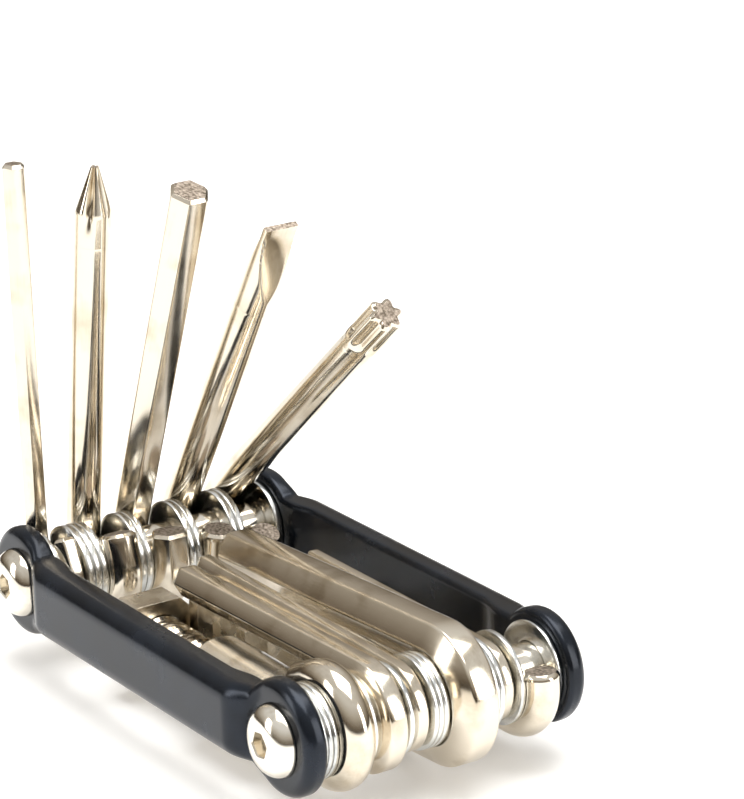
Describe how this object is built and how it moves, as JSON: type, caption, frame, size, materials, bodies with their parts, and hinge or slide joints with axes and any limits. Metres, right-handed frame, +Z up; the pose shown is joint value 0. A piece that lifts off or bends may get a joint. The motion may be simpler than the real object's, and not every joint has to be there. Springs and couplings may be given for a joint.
{
  "type": "folding bicycle multi-tool with chain tool",
  "caption": "Folding bicycle multi-tool: two dark side plates hold pivoting hex keys, drivers, a rod and a sheet-steel chain tool.",
  "frame": {"origin": "midway between the two pivot axes and between the two side plates", "axes": "+X from the driver pivot to the key pivot, +Y from side plate A to side plate B, +Z up"},
  "size_m": [0.085, 0.0474, 0.0703],
  "materials": {
    "anodised_plate": "satin",
    "zinc_washer": "bright zinc",
    "nickel_hardware": "polished nickel",
    "satin_nickel": "satin nickel",
    "plated_tool_steel": "nickel plated steel"
  },
  "bodies": {
    "frame": {"side_plate_a": "anodised_plate", "side_plate_b": "anodised_plate", "pivot_sleeve_1": "nickel_hardware", "pivot_sleeve_2": "nickel_hardware", "pivot_screws": "nickel_hardware", "washers_1": "zinc_washer", "washers_2": "zinc_washer"},
    "key_3": {"hex_key_3": "plated_tool_steel"},
    "phillips": {"phillips_driver": "plated_tool_steel"},
    "key_5": {"hex_key_5": "plated_tool_steel"},
    "flat": {"flat_driver": "plated_tool_steel"},
    "star": {"star_driver": "plated_tool_steel"},
    "key_4": {"hex_key_4": "plated_tool_steel"},
    "key_2_5": {"hex_key_2_5": "plated_tool_steel"},
    "key_6": {"hex_key_6": "plated_tool_steel", "hex_adapter_8": "plated_tool_steel"},
    "key_2": {"hex_key_2": "plated_tool_steel"},
    "rod": {"plain_rod": "plated_tool_steel"},
    "chain_tool": {"chain_tool_arm": "satin_nickel", "chain_tool_frame": "satin_nickel", "chain_tool_block": "satin_nickel", "chain_tool_cradle": "satin_nickel", "chain_tool_plug": "satin_nickel"},
    "push_pin": {"chain_tool_pin": "satin_nickel"},
    "spindle": {"chain_tool_spindle": "satin_nickel"}
  },
  "joints": [
    {"name": "key_3_fold", "type": "hinge", "parent": "frame", "child": "key_3", "pos_m": [-0.0335, 0, 0], "axis": [0, -1, 0], "range_deg": [-86, 90]},
    {"name": "phillips_fold", "type": "hinge", "parent": "frame", "child": "phillips", "pos_m": [-0.0335, 0, 0], "axis": [0, -1, 0], "range_deg": [-71, 100]},
    {"name": "key_5_fold", "type": "hinge", "parent": "frame", "child": "key_5", "pos_m": [-0.0335, 0, 0], "axis": [0, -1, 0], "range_deg": [-54.5, 112]},
    {"name": "flat_fold", "type": "hinge", "parent": "frame", "child": "flat", "pos_m": [-0.0335, 0, 0], "axis": [0, -1, 0], "range_deg": [-43.5, 123]},
    {"name": "star_fold", "type": "hinge", "parent": "frame", "child": "star", "pos_m": [-0.0335, 0, 0], "axis": [0, -1, 0], "range_deg": [-38, 140]},
    {"name": "key_4_fold", "type": "hinge", "parent": "frame", "child": "key_4", "pos_m": [0.0335, 0, 0], "axis": [0, 1, 0], "range_deg": [0, 180]},
    {"name": "key_2_5_fold", "type": "hinge", "parent": "frame", "child": "key_2_5", "pos_m": [0.0335, 0, 0], "axis": [0, 1, 0], "range_deg": [0, 180]},
    {"name": "key_6_fold", "type": "hinge", "parent": "frame", "child": "key_6", "pos_m": [0.0335, 0, 0], "axis": [0, 1, 0], "range_deg": [0, 180]},
    {"name": "key_2_fold", "type": "hinge", "parent": "frame", "child": "key_2", "pos_m": [0.0335, 0, 0], "axis": [0, 1, 0], "range_deg": [0, 180]},
    {"name": "rod_fold", "type": "hinge", "parent": "frame", "child": "rod", "pos_m": [0.0335, 0, 0], "axis": [0, -1, 0], "range_deg": [0, 180]},
    {"name": "chain_tool_fold", "type": "hinge", "parent": "frame", "child": "chain_tool", "pos_m": [0.0335, 0, 0], "axis": [0, -1, 0], "range_deg": [0, 180]},
    {"name": "push_pin_travel", "type": "slide", "parent": "chain_tool", "child": "push_pin", "axis": [-1, 0, 0], "range_m": [0, 0.003]},
    {"name": "spindle_turn", "type": "hinge", "parent": "push_pin", "child": "spindle", "pos_m": [0, -0.0113, -0.0045], "axis": [-1, 0, 0], "range_deg": [0, 1081]}
  ],
  "couplings": [
    {"joint": "spindle_turn", "follows": "push_pin_travel", "rad_per_m": 6283.2}
  ]
}
